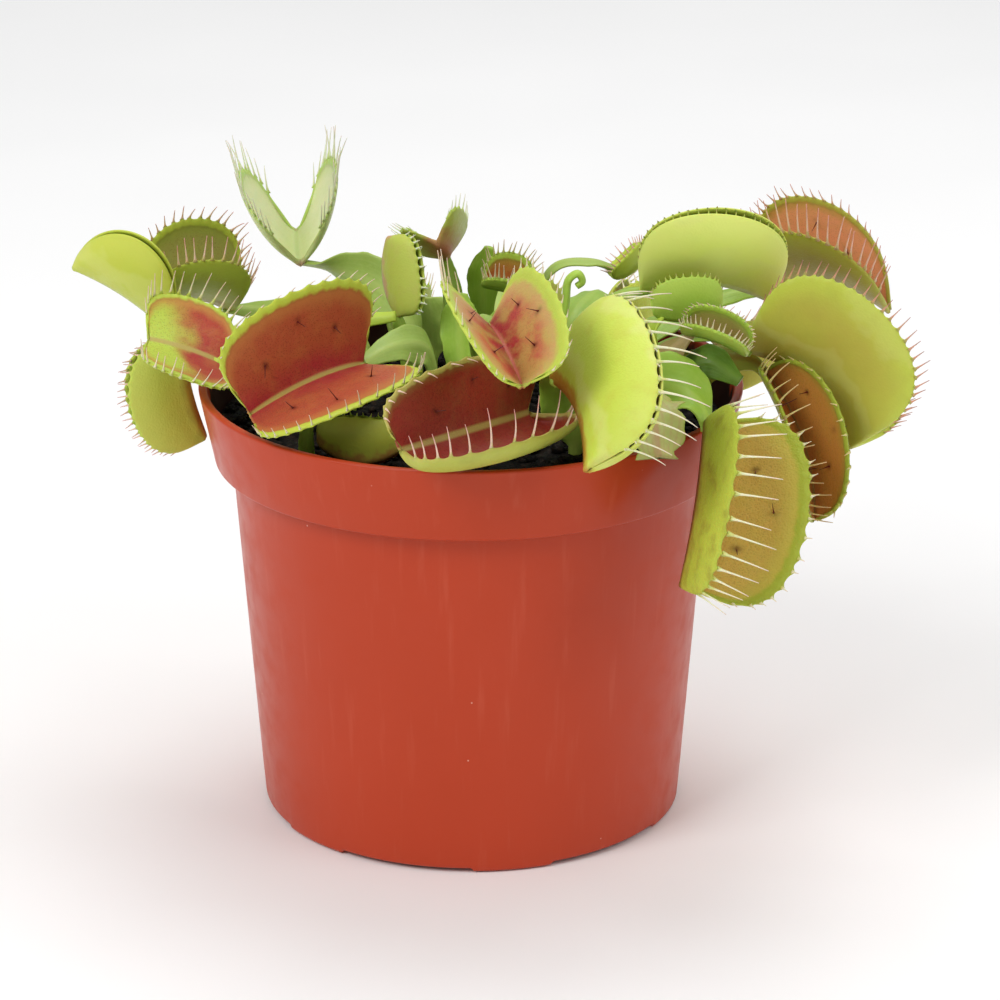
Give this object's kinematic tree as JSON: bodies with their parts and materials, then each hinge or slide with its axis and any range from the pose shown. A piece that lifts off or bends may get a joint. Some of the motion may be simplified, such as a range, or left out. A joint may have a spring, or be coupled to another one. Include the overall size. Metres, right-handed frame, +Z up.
{
  "type": "potted carnivorous plant",
  "caption": "Venus flytrap in a round terracotta-coloured plastic nursery pot: winged stalks rise from peat and carry toothed two-lobed traps, red inside or green, some hanging over the rim.",
  "frame": {"origin": "on the pot's axis at the level of its foot, where it rests", "axes": "+Z up along the pot's axis; -Y towards the near side, the side seen in the picture; +X to the right of that view"},
  "size_m": [0.1407, 0.126, 0.1073],
  "materials": {
    "pot": "terracotta-coloured moulded plastic, half gloss",
    "peat": "moist black peat",
    "red_trap": "living leaf, red inside with a yellow-green rim",
    "green_trap": "living leaf, yellow-green",
    "blade": "living leaf, mid green"
  },
  "bodies": {
    "root": {"pot": "pot", "peat": "peat", "leaf_front_left": "red_trap", "leaf_front": "red_trap", "leaf_centre": "red_trap", "leaf_left_red": "red_trap", "leaf_centre_right": "green_trap", "leaf_right_low": "green_trap", "leaf_right_mid": "green_trap", "leaf_right_large": "green_trap", "leaf_right_back": "green_trap", "leaf_dome": "green_trap", "leaf_dome_small": "green_trap", "leaf_half_open": "green_trap", "leaf_far_left": "green_trap", "leaf_left_back": "green_trap", "leaf_left_low": "green_trap", "leaf_back_tall": "green_trap", "leaf_back_upright": "green_trap", "leaf_back_small": "green_trap", "leaf_back_centre": "green_trap", "leaf_back_strap": "green_trap", "leaf_front_low": "green_trap", "leaf_rear_left": "green_trap", "leaf_rear": "green_trap", "leaf_rear_right": "green_trap", "leaf_rear_far_right": "green_trap", "blade_left": "blade", "blade_centre": "blade", "blade_middle": "blade", "blade_rear": "blade", "blade_back": "blade", "blade_right": "blade", "bud": "blade", "cut_stalk": "blade", "old_leaf": "blade"}
  },
  "joints": []
}
